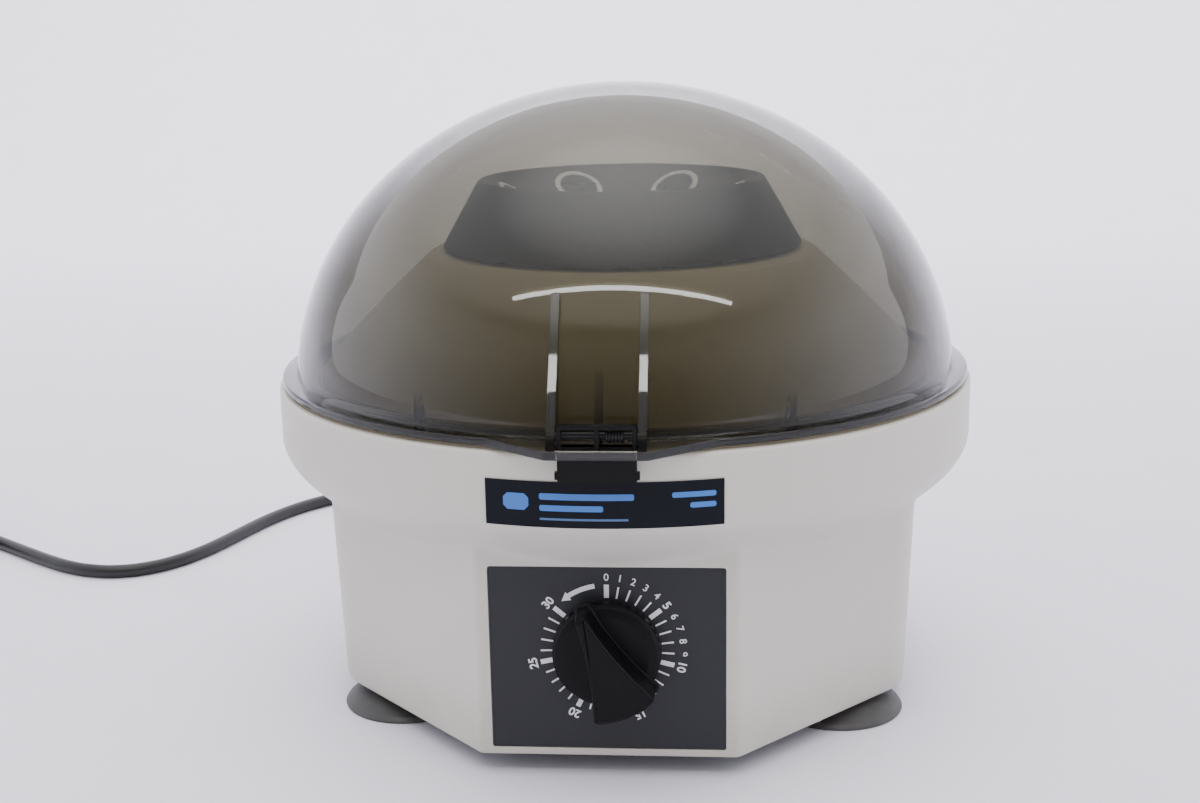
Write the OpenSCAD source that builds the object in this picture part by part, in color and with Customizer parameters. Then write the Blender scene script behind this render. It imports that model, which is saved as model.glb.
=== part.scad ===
// Laboratory bench centrifuge: six-place angle rotor under a hinged clear dome.
// Millimetres. Origin on the bench below the rotor axis, +Z up, front is -Y, +X to the right.

/* [Housing] */
// Outer radius of the round collar under the lid
collar_r = 150; // [120:1:180]
// Height of the collar's top edge above the bench
collar_top = 137; // [120:1:160]
// Height of the collar's lower edge at the two sides
collar_low = 100; // [85:1:115]
// Rise of that lower edge from the sides to the front
collar_rise = 9.5; // [0:0.5:14]
// Wall thickness of the moulded housing
wall = 3.5; // [2:0.5:5]
// Half width across the eight-sided body at the bench end
body_low_a = 121.5; // [105:0.5:135]
// Half width across the eight-sided body under the collar
body_top_a = 124.5; // [105:0.5:138]
// Distance from the axis to the flat front face
front_y = 123.5; // [105:0.5:140]
// Half width of the flat front face
front_half = 50; // [40:1:60]
// Radius of the six soft upright corners
corner_r = 30; // [5:1:45]
// Height of the body's lower edge above the bench
body_z = 9; // [6:0.5:15]

/* [Feet] */
// Radius of each suction foot at the bench
foot_r = 28; // [15:1:35]
// Foot centre, sideways from the axis
foot_x = 92; // [70:1:100]
// Foot centre, forward and back from the axis
foot_y = 51; // [40:1:90]

/* [Bowl] */
// Inner radius of the rotor chamber
bowl_r = 133; // [110:1:140]
// Height of the chamber floor
bowl_floor = 106; // [100:1:112]
// Sheet thickness of the bowl
bowl_t = 2; // [1.5:0.5:4]
// Radius of the motor tower where it leaves the floor
tower_r1 = 50; // [42:1:60]
// Radius of the motor tower at its top
tower_r2 = 38; // [36:1:50]
// Height of the tower's top
tower_top = 180; // [170:1:184]
// Outer radius of the conical guard where it meets the bowl
guard_r = 131.8; // [105:0.1:139]
// Radius of the hole in the top of the guard
guard_hole = 73; // [70:0.5:78]
// Height of the guard's top
guard_top = 190.3; // [186:0.1:198]

/* [Lid] */
// Outer radius of the lid's flange
flange_r = 148.5; // [120:0.5:180]
// Flange thickness
flange_t = 3; // [2:0.5:5]
// Outer radius of the dome at its base
dome_r = 142.7; // [115:0.1:170]
// Height of the dome above its ellipse centre
dome_h = 127.2; // [80:0.1:150]
// Dome wall thickness at its base
dome_t = 4; // [2:0.1:5]
// Dome wall thickness at its crown
dome_t_top = 2.2; // [1.5:0.1:5]
// Reach of the front lip from the axis
lip_y = 161; // [155:0.5:170]
// Width of the lip at its front edge
lip_w = 37; // [32:1:50]
// Lid opening angle
lid_open = 75; // [0:1:80]

/* [Rotor] */
// Tube angle from the vertical
tube_angle = 32; // [20:1:45]
// Radius of the circle through the tube mouths
tube_circle = 45; // [40:0.5:55]
// Number of tube places
tube_count = 6; // [4:1:6]
// Inner radius of a tube shield
shield_r = 8.7; // [6:0.1:9]
// Shield length below its rim
shield_len = 105; // [80:1:110]
// Outer radius of the rotor's top rim
rotor_r1 = 61; // [55:0.5:70]
// Outer radius of the rotor's skirt
rotor_r2 = 77.5; // [72:0.5:90]
// Height of the rotor's top rim
rotor_top = 219.5; // [210:0.5:225]
// Height of the skirt's lower edge
rotor_low = 192; // [188:0.5:200]
// Drive shaft radius
shaft_r = 4; // [3:0.5:6]

/* [Timer] */
// Knob radius
knob_r = 20.6; // [15:0.1:25]
// Height of the timer axis above the bench
knob_z = 53; // [40:1:65]
// Pointer angle, anticlockwise from straight up, seen from the front
knob_rest = 24; // [0:1:30]
// Panel width
panel_w = 90; // [70:1:95]
// Panel height
panel_h = 73.5; // [60:0.5:76]
// Height of the panel's lower edge
panel_z = 12.5; // [11:0.5:20]

/* [Hidden] */
$fn = 96;
lid_z = collar_top + 1.3;            // underside of the lid
ellipse_z = 133.6;                   // centre of the dome's ellipse
cone_slope = 0.82;                   // rise per unit of radius under the collar
tilt = asin(collar_rise / collar_r);
recess = 1.4;                        // depth of the panel recess
panel_t = 1;
panel_y = -front_y + recess - panel_t;
run = 0.05;                          // radial running clearance
hinge_y = 154;
hinge_z = 142;
hinge_pin_r = 2;
latch_y = -152.5;
latch_z = 145;
latch_pin_r = 1.25;
latch_w = 28;
cord_r = 3.5;
gland_x = -40;
gland_z = 40;
gland_end = lip_y;                   // the rear-most point, level with the lip's reach in front
motor_r = 34;
post_d = 114 / sqrt(2);              // base screw posts, along X and along Y
funnel = tan(tube_angle);
mouth_z = rotor_top - (rotor_r1 - tube_circle) * funnel;
shield_split = 26;                   // where the shield's sleeve ends and its cup begins

// Route of the free cord's centre line, from the gland to the start of the coil
route = [
  [-40, 161, 40], [-40, 172, 39.4], [-40.4, 184, 37], [-41.5, 196, 32.4], [-44, 207, 26],
  [-48, 217, 19], [-54, 226, 12.5], [-62, 234.5, 7.5], [-72, 242, 4.6], [-84, 248, 3.6],
  [-98, 252.5, 3.5], [-113, 255, 3.5], [-129, 255.5, 3.5], [-145, 254, 3.5], [-161, 250, 3.5],
  [-176, 243.5, 3.5], [-190, 234.5, 3.5], [-202, 223, 3.5], [-212, 209.5, 3.5], [-220, 194.5, 3.5],
  [-226.5, 178.5, 3.5], [-232, 162, 3.5], [-237.5, 145.5, 3.5], [-244, 129.5, 3.5],
  [-252.5, 115, 3.5], [-264, 103.5, 3.5], [-278, 97.5, 3.5], [-293, 98, 3.5], [-308, 103.5, 3.5],
  [-322, 112, 3.5], [-335.5, 121.5, 3.5], [-349, 131.5, 3.5], [-362.5, 141.5, 3.5],
  [-376, 151.5, 3.5], [-389, 161.5, 3.5], [-400, 172, 3.5]
];
coil_c = [-432, 149];                // centre of the stored coil
coil_r = 36;                         // middle of its turns
coil_h = 21;                         // three turns high, two turns wide
tail_x = coil_c[0] - coil_r - cord_r;
tail = [[tail_x, 149, 17.5], [tail_x, 138, 17], [tail_x, 127, 13.6], [tail_x, 116, 9.4], [tail_x, 108, 8],
        [tail_x, 105, 8]];

// ---------- shared shapes ----------

// Corner posts of the eight-sided body at height z, drawn in by inset
module body_ring(a, z, inset) {
  for (i = [0:7]) {
    t = 22.5 + 45 * i;
    is_front = (i == 5 || i == 6);
    rc = max((is_front ? 4 : corner_r) - inset, 0.5);
    ax = is_front ? (front_half - inset * 0.42) * (i == 5 ? -1 : 1) : (a - inset) / cos(22.5) * cos(t);
    ay = is_front ? -(front_y - inset) : (a - inset) / cos(22.5) * sin(t);
    translate([ax - rc / cos(22.5) * cos(t), ay - rc / cos(22.5) * sin(t), z])
      cylinder(r = rc, h = 0.02, $fn = 32);
  }
}

// The same eight-sided outline as points, drawn in by inset
function body_outline(a, inset) = [for (i = [0:7])
  let (t = 22.5 + 45 * i, is_front = (i == 5 || i == 6), rc = max((is_front ? 4 : corner_r) - inset, 0.5),
    ax = is_front ? (front_half - inset * 0.42) * (i == 5 ? -1 : 1) : (a - inset) / cos(22.5) * cos(t),
    ay = is_front ? -(front_y - inset) : (a - inset) / cos(22.5) * sin(t),
    turn = is_front ? 19 : 22)
  for (k = is_front ? [0] : [-turn:11:turn])
    [ax - rc / cos(22.5) * cos(t) + rc * cos(t + k), ay - rc / cos(22.5) * sin(t) + rc * sin(t + k)]];

// Solid eight-sided body, drafted, from z0 to z1
module body_block(z0, z1, inset) {
  hull() {
    body_ring(body_low_a, z0, inset);
    body_ring(body_top_a, z1 - 0.02, inset);
  }
}

// Solid collar with the sloping underside, drawn in by inset
module collar_solid(inset) {
  lift = inset * 1.4;
  intersection() {
    translate([0, 0, 50]) cylinder(r = collar_r - inset, h = collar_top - 50);
    translate([0, 0, collar_low + lift]) rotate([-tilt, 0, 0]) {
      translate([0, 0, -60]) cylinder(h = 62, r1 = 149.5 - 60 / cone_slope, r2 = 149.5 + 2 / cone_slope);
      translate([0, 0, 1.9]) cylinder(h = 60, r = 175);
    }
  }
}

// A flat ring
module ring(r_out, r_in, z0, z1) {
  translate([0, 0, z0]) difference() {
    cylinder(r = r_out, h = z1 - z0);
    translate([0, 0, -1]) cylinder(r = r_in, h = z1 - z0 + 2);
  }
}

// A round bar along +X from x0 to x1
module bar_x(r, x0, x1, y, z) {
  translate([x0, y, z]) rotate([0, 90, 0]) cylinder(r = r, h = x1 - x0);
}

// A round bar along +Y from y0 to y1
module bar_y(r, y0, y1, x, z) {
  translate([x, y0, z]) rotate([-90, 0, 0]) cylinder(r = r, h = y1 - y0);
}

// Cap screw standing on z, shank down to z_end
module cap_screw(r, head_r, z, head_h, z_end) {
  translate([0, 0, z_end]) cylinder(r = r, h = z - z_end);
  difference() {
    translate([0, 0, z]) cylinder(r = head_r, h = head_h);
    translate([0, 0, z + head_h * 0.45]) cylinder(r = head_r * 0.5, h = head_h, $fn = 6);
  }
}

// Puts children at one of the six tube places: +Z along the tube, out of its mouth
module at_tube(i) {
  a = 30 + 360 / tube_count * i;
  rotate([0, 0, 90 - a]) translate([tube_circle, 0, mouth_z]) rotate([0, -tube_angle, 0]) children();
}

// Outer radius of the dome at height z
function dome_at(z) = dome_r * sqrt(1 - pow((z - ellipse_z) / dome_h, 2));

// ---------- base ----------

module housing() {
  color([0.76, 0.75, 0.74]) difference() {
    union() {
      difference() {
        union() {
          collar_solid(0);
          body_block(body_z, 99, 0);
        }
        collar_solid(wall);
        body_block(body_z - 1, 104, wall);
        translate([0, 0, 112]) cylinder(r = collar_r - wall, h = 30);
      }
      ring(collar_r - wall + 0.2, 139, 131, 134);
      for (x = [-1, 1], y = [-1, 1])
        translate([x * post_d, y * post_d, body_z + 3]) cylinder(r = 6, h = 50, $fn = 48);
    }
    for (x = [-1, 1], y = [-1, 1])
      translate([x * post_d, y * post_d, body_z]) cylinder(r = 2.05, h = 24, $fn = 32);
    translate([-panel_w / 2 - 0.3, -front_y - 5, panel_z - 0.3])
      cube([panel_w + 0.6, recess + 5, panel_h + 0.6]);
    bar_y(5, -front_y - 1, -front_y + 8, 0, knob_z);
    bar_y(7.1, 110, 130, gland_x, gland_z);
    for (t = [0:45:315]) rotate([0, 0, t + 22.5])
      translate([142, 0, 128]) cylinder(r = 1.55, h = 10, $fn = 32);
    for (x = [-22, 22], z = [118, 128]) bar_y(1.8, 140, 152, x, z);
  }
}

module base_plate() {
  color([0.3, 0.3, 0.31]) difference() {
    translate([0, 0, body_z]) linear_extrude(height = 3) polygon(body_outline(body_low_a, wall + 0.4));
    for (x = [-1, 1], y = [-1, 1]) {
      translate([x * post_d, y * post_d, 0]) cylinder(r = 2, h = 30, $fn = 32);
      translate([x * foot_x, y * foot_y, 0]) cylinder(r = 3.05, h = 30, $fn = 32);
    }
    for (x = [-36:9:36]) translate([x - 1.5, -22, 0]) cube([3, 44, 30]);
  }
}

module base_screws() {
  color([0.6, 0.6, 0.62]) for (x = [-1, 1], y = [-1, 1])
    translate([x * post_d, y * post_d, 0]) mirror([0, 0, 1])
      cap_screw(2, 3.8, -body_z, 2.6, -body_z - 22);
}

// Suction foot: bell with a hollow underside
module foot(x, y) {
  color([0.19, 0.19, 0.2]) translate([x, y, 0]) rotate_extrude() difference() {
    polygon([[0, 0], [foot_r, 0], [foot_r, 1.4], [foot_r - 1.2, 2.6], [foot_r - 7, 5],
             [foot_r - 12, 6.6], [foot_r - 15, body_z], [0, body_z]]);
    polygon([[-1, -1], [foot_r - 3, -1], [foot_r - 3, 0], [foot_r - 12, 2.4], [6, 3.6], [-1, 3.8]]);
    translate([-1, 5]) square([4, 10]);
  }
}
module foot_front_left() { foot(-foot_x, -foot_y); }
module foot_front_right() { foot(foot_x, -foot_y); }
module foot_rear_left() { foot(-foot_x, foot_y); }
module foot_rear_right() { foot(foot_x, foot_y); }

module foot_studs() {
  color([0.62, 0.62, 0.64]) for (x = [-1, 1], y = [-1, 1]) translate([x * foot_x, y * foot_y, 0]) {
    translate([0, 0, 5]) cylinder(r = 3, h = 15, $fn = 32);
    translate([0, 0, body_z + 3]) cylinder(r = 5.8, h = 4.5, $fn = 6);
  }
}

module bowl() {
  rf = 10;
  color([0.72, 0.68, 0.62]) difference() {
    rotate_extrude() polygon([
      [bowl_r, collar_top], [146.3, collar_top], [146.3, 134], [bowl_r + bowl_t, 134],
      [bowl_r + bowl_t, bowl_floor + rf],
      for (t = [15:15:75]) [bowl_r - rf + (rf + bowl_t) * cos(t), bowl_floor + rf - (rf + bowl_t) * sin(t)],
      [bowl_r - rf, bowl_floor - bowl_t], [tower_r1 - bowl_t, bowl_floor - bowl_t],
      [tower_r2 - bowl_t, tower_top - 6], [tower_r2 - 8, tower_top - bowl_t],
      [9, tower_top - bowl_t], [9, tower_top], [tower_r2 - 6, tower_top], [tower_r2, tower_top - 6],
      [tower_r1, bowl_floor], [bowl_r - rf, bowl_floor],
      for (t = [75:-15:15]) [bowl_r - rf + rf * cos(t), bowl_floor + rf - rf * sin(t)],
      [bowl_r, bowl_floor + rf]
    ]);
    for (t = [0:45:315]) rotate([0, 0, t + 22.5])
      translate([142, 0, 130]) cylinder(r = 1.5, h = 10, $fn = 32);
    for (t = [0:60:300]) rotate([0, 0, t])
      translate([62, 0, bowl_floor - 5]) cylinder(r = 2.5, h = 10, $fn = 32);
  }
}

module bowl_seal() {
  color([0.12, 0.12, 0.13]) ring(139.5, 136, collar_top, collar_top + 0.9);
}

module bowl_screws() {
  color([0.6, 0.6, 0.62]) for (t = [0:45:315]) rotate([0, 0, t + 22.5])
    translate([142, 0, 129]) cylinder(r = 1.5, h = collar_top + 0.6 - 129, $fn = 32);
}

// Cone around the tubes, from the bowl's rim up to the rotor's skirt
module rotor_guard() {
  color([0.68, 0.63, 0.56]) rotate_extrude() polygon([
    [bowl_r, 127], [bowl_r, collar_top + 0.4], [guard_r, collar_top + 0.4], [guard_r, 142],
    [116, 158.6], [97, 176.9], [84, 188.6], [80.5, guard_top], [guard_hole, guard_top],
    [guard_hole, guard_top - 2], [79.6, guard_top - 2], [82.4, 187.2], [95.5, 175.4], [114.5, 157.1],
    [guard_r - 2.2, 141.1], [guard_r - 2.2, collar_top + 0.4], [bowl_r - 2, collar_top - 1],
    [bowl_r - 2, 127]
  ]);
}

module panel_plate() {
  color([0.22, 0.22, 0.235]) difference() {
    translate([-panel_w / 2, panel_y, panel_z]) cube([panel_w, panel_t, panel_h]);
    bar_y(5, panel_y - 1, panel_y + 3, 0, knob_z);
  }
}

module label_plate() {
  color([0.16, 0.17, 0.2]) translate([0, 0, 110.2]) rotate([0, 0, -90 - 16])
    rotate_extrude(angle = 33.2) translate([collar_r, 0]) square([0.5, 17]);
}

module timer_body() {
  color([0.85, 0.83, 0.78]) difference() {
    translate([-26, -110, knob_z - 26]) cube([52, 28, 52]);
    bar_y(shaft_t() + run, -112, -96, 0, knob_z);
  }
}

function shaft_t() = 3;

module timer_bush() {
  color([0.75, 0.6, 0.35]) difference() {
    bar_y(5, -125.1, -110, 0, knob_z);
    bar_y(shaft_t() + run, -126, -109, 0, knob_z);
  }
}

module timer_nut() {
  color([0.7, 0.7, 0.72]) difference() {
    translate([0, panel_y - 1.9, knob_z]) rotate([-90, 0, 0]) cylinder(r = 8, h = 1.9, $fn = 6);
    bar_y(5, -130, -118, 0, knob_z);
  }
}

// ---------- drive ----------

module motor_can() {
  color([0.55, 0.56, 0.58]) ring(motor_r, motor_r - 2, 70, 150);
}

module motor_field() {
  color([0.45, 0.28, 0.16]) ring(motor_r - 2, 22, 84, 132);
}

module motor_top_cap() {
  color([0.62, 0.63, 0.65]) ring(motor_r, 11, 150, 156);
}

module motor_base_frame() {
  color([0.62, 0.63, 0.65]) difference() {
    union() {
      ring(motor_r, motor_r - 3, 39, 64);
      ring(motor_r, 11, 64, 70);
      ring(motor_r + 12, motor_r - 3, 39, 42);
    }
    for (t = [0:60:300]) rotate([0, 0, t]) translate([motor_r - 8, -8, 46]) cube([16, 16, 12]);
  }
}

module motor_plate() {
  color([0.5, 0.5, 0.52]) ring(64, 12, 36, 39);
}

module motor_mounts() {
  color([0.13, 0.13, 0.14]) for (t = [45:90:315]) rotate([0, 0, t]) translate([55, 0, 0])
    rotate_extrude($fn = 48) polygon([[0, 12], [9, 12], [9, 15], [7, 24], [9, 33], [9, 36], [0, 36]]);
}

module bearing_top() { color([0.75, 0.76, 0.78]) ring(11, shaft_r + run, 150, 157); }
module bearing_bottom() { color([0.75, 0.76, 0.78]) ring(11, shaft_r + run, 63, 70); }

module brush_holders() {
  color([0.25, 0.18, 0.1]) for (s = [-1, 1]) translate([s * 20.75 - 9.25, -5, 136]) cube([18.5, 10, 9]);
}

module motor_shaft() {
  color([0.72, 0.73, 0.75]) translate([0, 0, 44]) cylinder(r = shaft_r, h = 162);
}

module armature() {
  color([0.5, 0.32, 0.2]) difference() {
    ring(20.8, shaft_r, 84, 132);
    for (t = [0:30:330]) rotate([0, 0, t]) translate([17.5, -1, 80]) cube([6, 2, 60]);
  }
}

module commutator() { color([0.75, 0.45, 0.25]) ring(11, shaft_r, 135, 146); }

module fan() {
  color([0.2, 0.2, 0.21]) union() {
    ring(8, shaft_r, 45, 58);
    ring(28, 7, 45, 47);
    for (t = [0:45:315]) rotate([0, 0, t]) translate([7, -0.9, 46]) cube([20, 1.8, 11]);
  }
}

module terminal_block() {
  color([0.85, 0.85, 0.82]) difference() {
    translate([-60, 84, body_z + 3]) cube([40, 16, 14]);
    for (x = [-54:10:-24]) translate([x, 92, body_z + 9]) cylinder(r = 2.4, h = 12, $fn = 24);
  }
}

module cord_gland() {
  color([0.1, 0.1, 0.11]) difference() {
    translate([gland_x, 0, gland_z]) rotate([-90, 0, 0]) rotate_extrude($fn = 64)
      polygon([[0, 112], [9.5, 112], [9.5, 117], [7, 117], [7, 126.5], [10, 126.5], [10, 129],
               [8.5, 131], [7.4, 134], [5.2, gland_end], [0, gland_end]]);
    bar_y(cord_r, 100, 130, gland_x, gland_z);
    for (y = [136:5:154]) difference() {
      bar_y(10, y, y + 1.6, gland_x, gland_z);
      bar_y(4.7, y - 1, y + 3, gland_x, gland_z);
    }
  }
}

// ---------- rotor ----------

module rotor_body() {
  t = 4.7;
  color([0.27, 0.27, 0.28]) difference() {
    rotate_extrude() polygon([
      [rotor_r1 - 1.2, rotor_top - 0.4], [rotor_r1, rotor_top], [rotor_r1 + 0.9, rotor_top - 0.6],
      [rotor_r2, rotor_low], [rotor_r2 - 3.4, rotor_low],
      [rotor_r1 - 2.3, rotor_top - 2.3 * funnel - t], [18, rotor_top - (rotor_r1 - 18) * funnel - t],
      [18, 184], [7.5, 184], [7.5, 197], [13, 197], [20, rotor_top - (rotor_r1 - 20) * funnel]
    ]);
    for (i = [0:tube_count - 1]) at_tube(i) translate([0, 0, -12]) cylinder(r = shield_r + 0.95, h = 24);
  }
}

module rotor_hub() {
  color([0.7, 0.71, 0.73]) union() {
    ring(7.5, shaft_r, 184, 197);
    ring(14, shaft_r, 182, 184);
  }
}

module rotor_nut() {
  color([0.78, 0.78, 0.8]) difference() {
    union() {
      translate([0, 0, 197]) cylinder(r = 11.5, h = 1.5);
      translate([0, 0, 198.5]) cylinder(r = 9.2, h = 6.5, $fn = 6);
      translate([0, 0, 205]) rotate_extrude() intersection() {
        circle(r = 7.6);
        square([8, 8]);
      }
    }
    translate([0, 0, 190]) cylinder(r = shaft_r, h = 16);
  }
}

// Tube shield in two pieces: a rimmed sleeve that sits in the rotor, and the long cup under it
module shield() {
  color([0.78, 0.78, 0.79]) {
    rotate_extrude() polygon([
      [shield_r, -shield_split], [shield_r + 0.9, -shield_split], [shield_r + 0.9, 0.75],
      [shield_r + 2.4, 0.75], [shield_r + 2.4, 2.45], [shield_r, 2.45]
    ]);
    rotate_extrude() difference() {
      union() {
        translate([0, -shield_len + shield_r])
          square([shield_r + 0.9, shield_len - shield_r - shield_split - 0.05]);
        intersection() {
          translate([0, -shield_len + shield_r]) circle(r = shield_r + 0.9);
          translate([0, -shield_len - 5]) square([20, shield_r + 6]);
        }
      }
      translate([-1, -shield_len + shield_r]) square([shield_r + 1, shield_len]);
      intersection() {
        translate([0, -shield_len + shield_r]) circle(r = shield_r);
        translate([-1, -shield_len - 5]) square([20, shield_r + 6]);
      }
      translate([-20, -200]) square([20, 400]);
    }
  }
}
module shield_1() { at_tube(0) shield(); }
module shield_2() { at_tube(1) shield(); }
module shield_3() { at_tube(2) shield(); }
module shield_4() { at_tube(3) shield(); }
module shield_5() { at_tube(4) shield(); }
module shield_6() { at_tube(5) shield(); }

module shield_pads() {
  color([0.15, 0.15, 0.16]) for (i = [0:tube_count - 1]) at_tube(i)
    translate([0, 0, -shield_len + 4.2]) cylinder(r1 = 6.3, r2 = 8.3, h = 4);
}

// ---------- lid ----------

module lid_dome() {
  fz = lid_z + flange_t;
  n = 22;
  t0 = asin((fz - ellipse_z) / dome_h);
  ti = asin((fz - ellipse_z) / (dome_h - dome_t_top));
  color([0.5, 0.47, 0.45, 0.35]) difference() {
    union() {
      rotate_extrude() polygon([
        [133, lid_z], [flange_r - 0.6, lid_z], [flange_r, lid_z + 0.8], [flange_r, fz - 0.8],
        [flange_r - 0.8, fz],
        for (i = [0:n]) let (t = t0 + (90 - t0) * i / n) [dome_r * cos(t), ellipse_z + dome_h * sin(t)],
        for (i = [0:n]) let (t = 90 - (90 - ti) * i / n)
          [(dome_r - dome_t) * cos(t), ellipse_z + (dome_h - dome_t_top) * sin(t)],
        [133, fz]
      ]);
      // front lip
      translate([0, 0, lid_z]) linear_extrude(height = flange_t)
        polygon([[-43, -140], [-lip_w / 2, -lip_y + 0.6], [-lip_w / 2 + 1.5, -lip_y],
                 [lip_w / 2 - 1.5, -lip_y], [lip_w / 2, -lip_y + 0.6], [43, -140]]);
      // two latch cheeks and the small rib between them
      for (x = [-17.6, 14.6]) translate([x, 0, 0]) yz_sheet(3)
        polygon([[-160, fz - 0.5], [-159.6, fz + 1], [-128.5, 190.6], [-126.6, 191.6],
                 for (z = [190, 180, 170, 160, 150, fz - 0.5]) [-dome_at(z) + 1.5, z]]);
      translate([-1.4, 0, 0]) yz_sheet(2.8)
        polygon([[-148, fz - 0.5], [-147.4, fz + 3], [-138.8, 165], [-dome_at(165) + 1.5, 165],
                 [-dome_at(fz) + 1.5, fz - 0.5]]);
      // inner gussets
      for (t = [30:60:330]) rotate([0, 0, t - 90]) translate([0, 1.5, 0]) rotate([90, 0, 0])
        linear_extrude(height = 3) polygon([[133.5, fz - 0.5], [dome_at(fz) - 1.5, fz - 0.5],
                                            [dome_at(150) - 1.5, 150], [dome_at(158) - 1.5, 158]]);
    }
    // latch slot, pin holes, leaf screw holes
    translate([-latch_w / 2 - 0.4, -158.8, lid_z - 1]) cube([latch_w + 0.8, 8.5, flange_t + 1.5]);
    bar_x(latch_pin_r, -20, 20, latch_y, latch_z);
    for (x = [-9, 9]) translate([x, 145.2, lid_z + 0.7]) cylinder(r = 1.25, h = 9, $fn = 32);
  }
}

// Extrudes a profile drawn in the Y-Z plane by t along +X
module yz_sheet(t) {
  rotate([90, 0, 90]) linear_extrude(height = t) children();
}

module hinge_bracket() {
  color([0.12, 0.12, 0.13]) difference() {
    union() {
      translate([-30, 140, 112]) cube([60, 13, 22]);
      for (x = [-27, 17]) translate([x, 0, 0]) yz_sheet(10) {
        polygon([[150, 114], [153, 113], [159, 138], [159.5, 142], [149.4, 141], [149.4, 138], [150, 134]]);
        translate([hinge_y, hinge_z]) circle(r = 5.5);
      }
    }
    cylinder(r = collar_r, h = 137.4);
    bar_x(hinge_pin_r, -40, 40, hinge_y, hinge_z);
    for (x = [-22, 22], z = [118, 128]) bar_y(1.75, 130, 160, x, z);
    for (x = [-22, 22], z = [118, 128]) bar_y(3.4, 153, 170, x, z);
  }
}

module hinge_pin() {
  color([0.75, 0.76, 0.78]) union() {
    bar_x(hinge_pin_r, -29, 29, hinge_y, hinge_z);
    bar_x(3.2, -30.5, -27, hinge_y, hinge_z);
    bar_x(3.2, 27, 30.5, hinge_y, hinge_z);
  }
}

module hinge_screws() {
  color([0.6, 0.6, 0.62]) for (x = [-22, 22], z = [118, 128]) {
    bar_y(1.75, 142, 153, x, z);
    difference() {
      bar_y(3.2, 153, 155.2, x, z);
      bar_y(1.5, 154, 156, x, z);
    }
  }
}

module hinge_leaf() {
  color([0.12, 0.12, 0.13]) difference() {
    union() {
      translate([-15, 140, lid_z + flange_t]) cube([30, 12, 3]);
      translate([-15, 147, lid_z]) cube([30, 5.5, flange_t + 3]);
      bar_x(5, -15, 15, hinge_y, hinge_z);
    }
    translate([0, 0, lid_z - 1]) cylinder(r = flange_r, h = flange_t + 1);
    cylinder(r = dome_at(lid_z + flange_t) + 0.3, h = 200);
    bar_x(hinge_pin_r + run, -40, 40, hinge_y, hinge_z);
    for (x = [-9, 9]) translate([x, 145.2, 130]) cylinder(r = 1.25, h = 30, $fn = 32);
  }
}

module leaf_screws() {
  color([0.6, 0.6, 0.62]) for (x = [-9, 9]) translate([x, 145.2, 0])
    cap_screw(1.25, 2.2, lid_z + flange_t + 3, 1.8, lid_z + 0.7);
}

module latch_catch() {
  color([0.12, 0.12, 0.13]) difference() {
    translate([-9, -151.5, 132]) cube([18, 6, 3.5]);
    cylinder(r = collar_r, h = 200);
  }
}

module latch_pin() { color([0.75, 0.76, 0.78]) bar_x(latch_pin_r, -17.6, 17.6, latch_y, latch_z); }

module latch_lever() {
  color([0.11, 0.11, 0.12]) difference() {
    union() {
      // front plate, hook foot and its side nibs
      translate([-latch_w / 2, -156.6, 129]) cube([latch_w, 3, 20.5]);
      translate([-latch_w / 2, -156.6, 129]) cube([latch_w, 4.7, 2.6]);
      translate([-latch_w / 2 - 1, -156.4, 130]) cube([latch_w + 2, 2.6, 2.6]);
      // three pivot lugs
      for (x = [-14, -0.8, 12.5]) translate([x, 0, 0]) yz_sheet(x == -0.8 ? 1.6 : 1.5) {
        translate([latch_y, latch_z]) circle(r = 2.9);
        polygon([[-156.6, 141], [-150.6, 143], [-150.6, 147], [-156.6, 149.5]]);
      }
      translate([-latch_w / 2, -156.6, 148.1]) cube([latch_w, 3.6, 1.4]);
    }
    bar_x(latch_pin_r + run, -20, 20, latch_y, latch_z);
    for (x = [-12.5, 0.8]) translate([x, -160, 141.2]) cube([11.7, 8, 6.9]);
  }
}

module latch_spring() {
  color([0.7, 0.7, 0.72]) for (x = [3.4:1.1:9.5]) translate([x, latch_y, latch_z]) rotate([0, 90, 0])
    rotate_extrude($fn = 32) translate([2, 0]) circle(r = 0.5, $fn = 16);
}

// ---------- timer knob ----------

module at_knob() {
  translate([0, 0, knob_z]) rotate([0, -knob_rest, 0]) children();
}

module knob() {
  color([0.15, 0.15, 0.165]) at_knob() difference() {
    union() {
      rotate([90, 0, 0]) rotate_extrude() polygon([[0, 125], [knob_r - 0.6, 125], [knob_r, 125.6],
        [knob_r, 129], [knob_r - 1, 130.4], [knob_r - 4, 131.2], [0, 131.2]]);
      translate([0, -130, 0]) rotate([90, 0, 0]) linear_extrude(height = 13.4)
        polygon([[-2.6, 21], [-1.7, 21.9], [1.7, 21.9], [2.6, 21], [3.9, 12], [5.9, 3], [9.2, -8], [13, -18],
                 [11.8, -19.6], [7.4, -21.2], [0, -22], [-7.4, -21.2], [-11.8, -19.6], [-13, -18],
                 [-9.2, -8], [-5.9, 3], [-3.9, 12]]);
    }
    bar_y(10, -126.6, -120, 0, 0);
    bar_y(shaft_t(), -142, -120, 0, 0);
  }
}

module timer_shaft() { color([0.75, 0.76, 0.78]) bar_y(shaft_t(), -142, -97, 0, knob_z); }

// ---------- latch and cord ----------

// Unit tangent of the route at point i
function tangent(p, i) = let (a = p[max(i - 1, 0)], b = p[min(i + 1, len(p) - 1)], d = b - a) d / norm(d);

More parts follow.
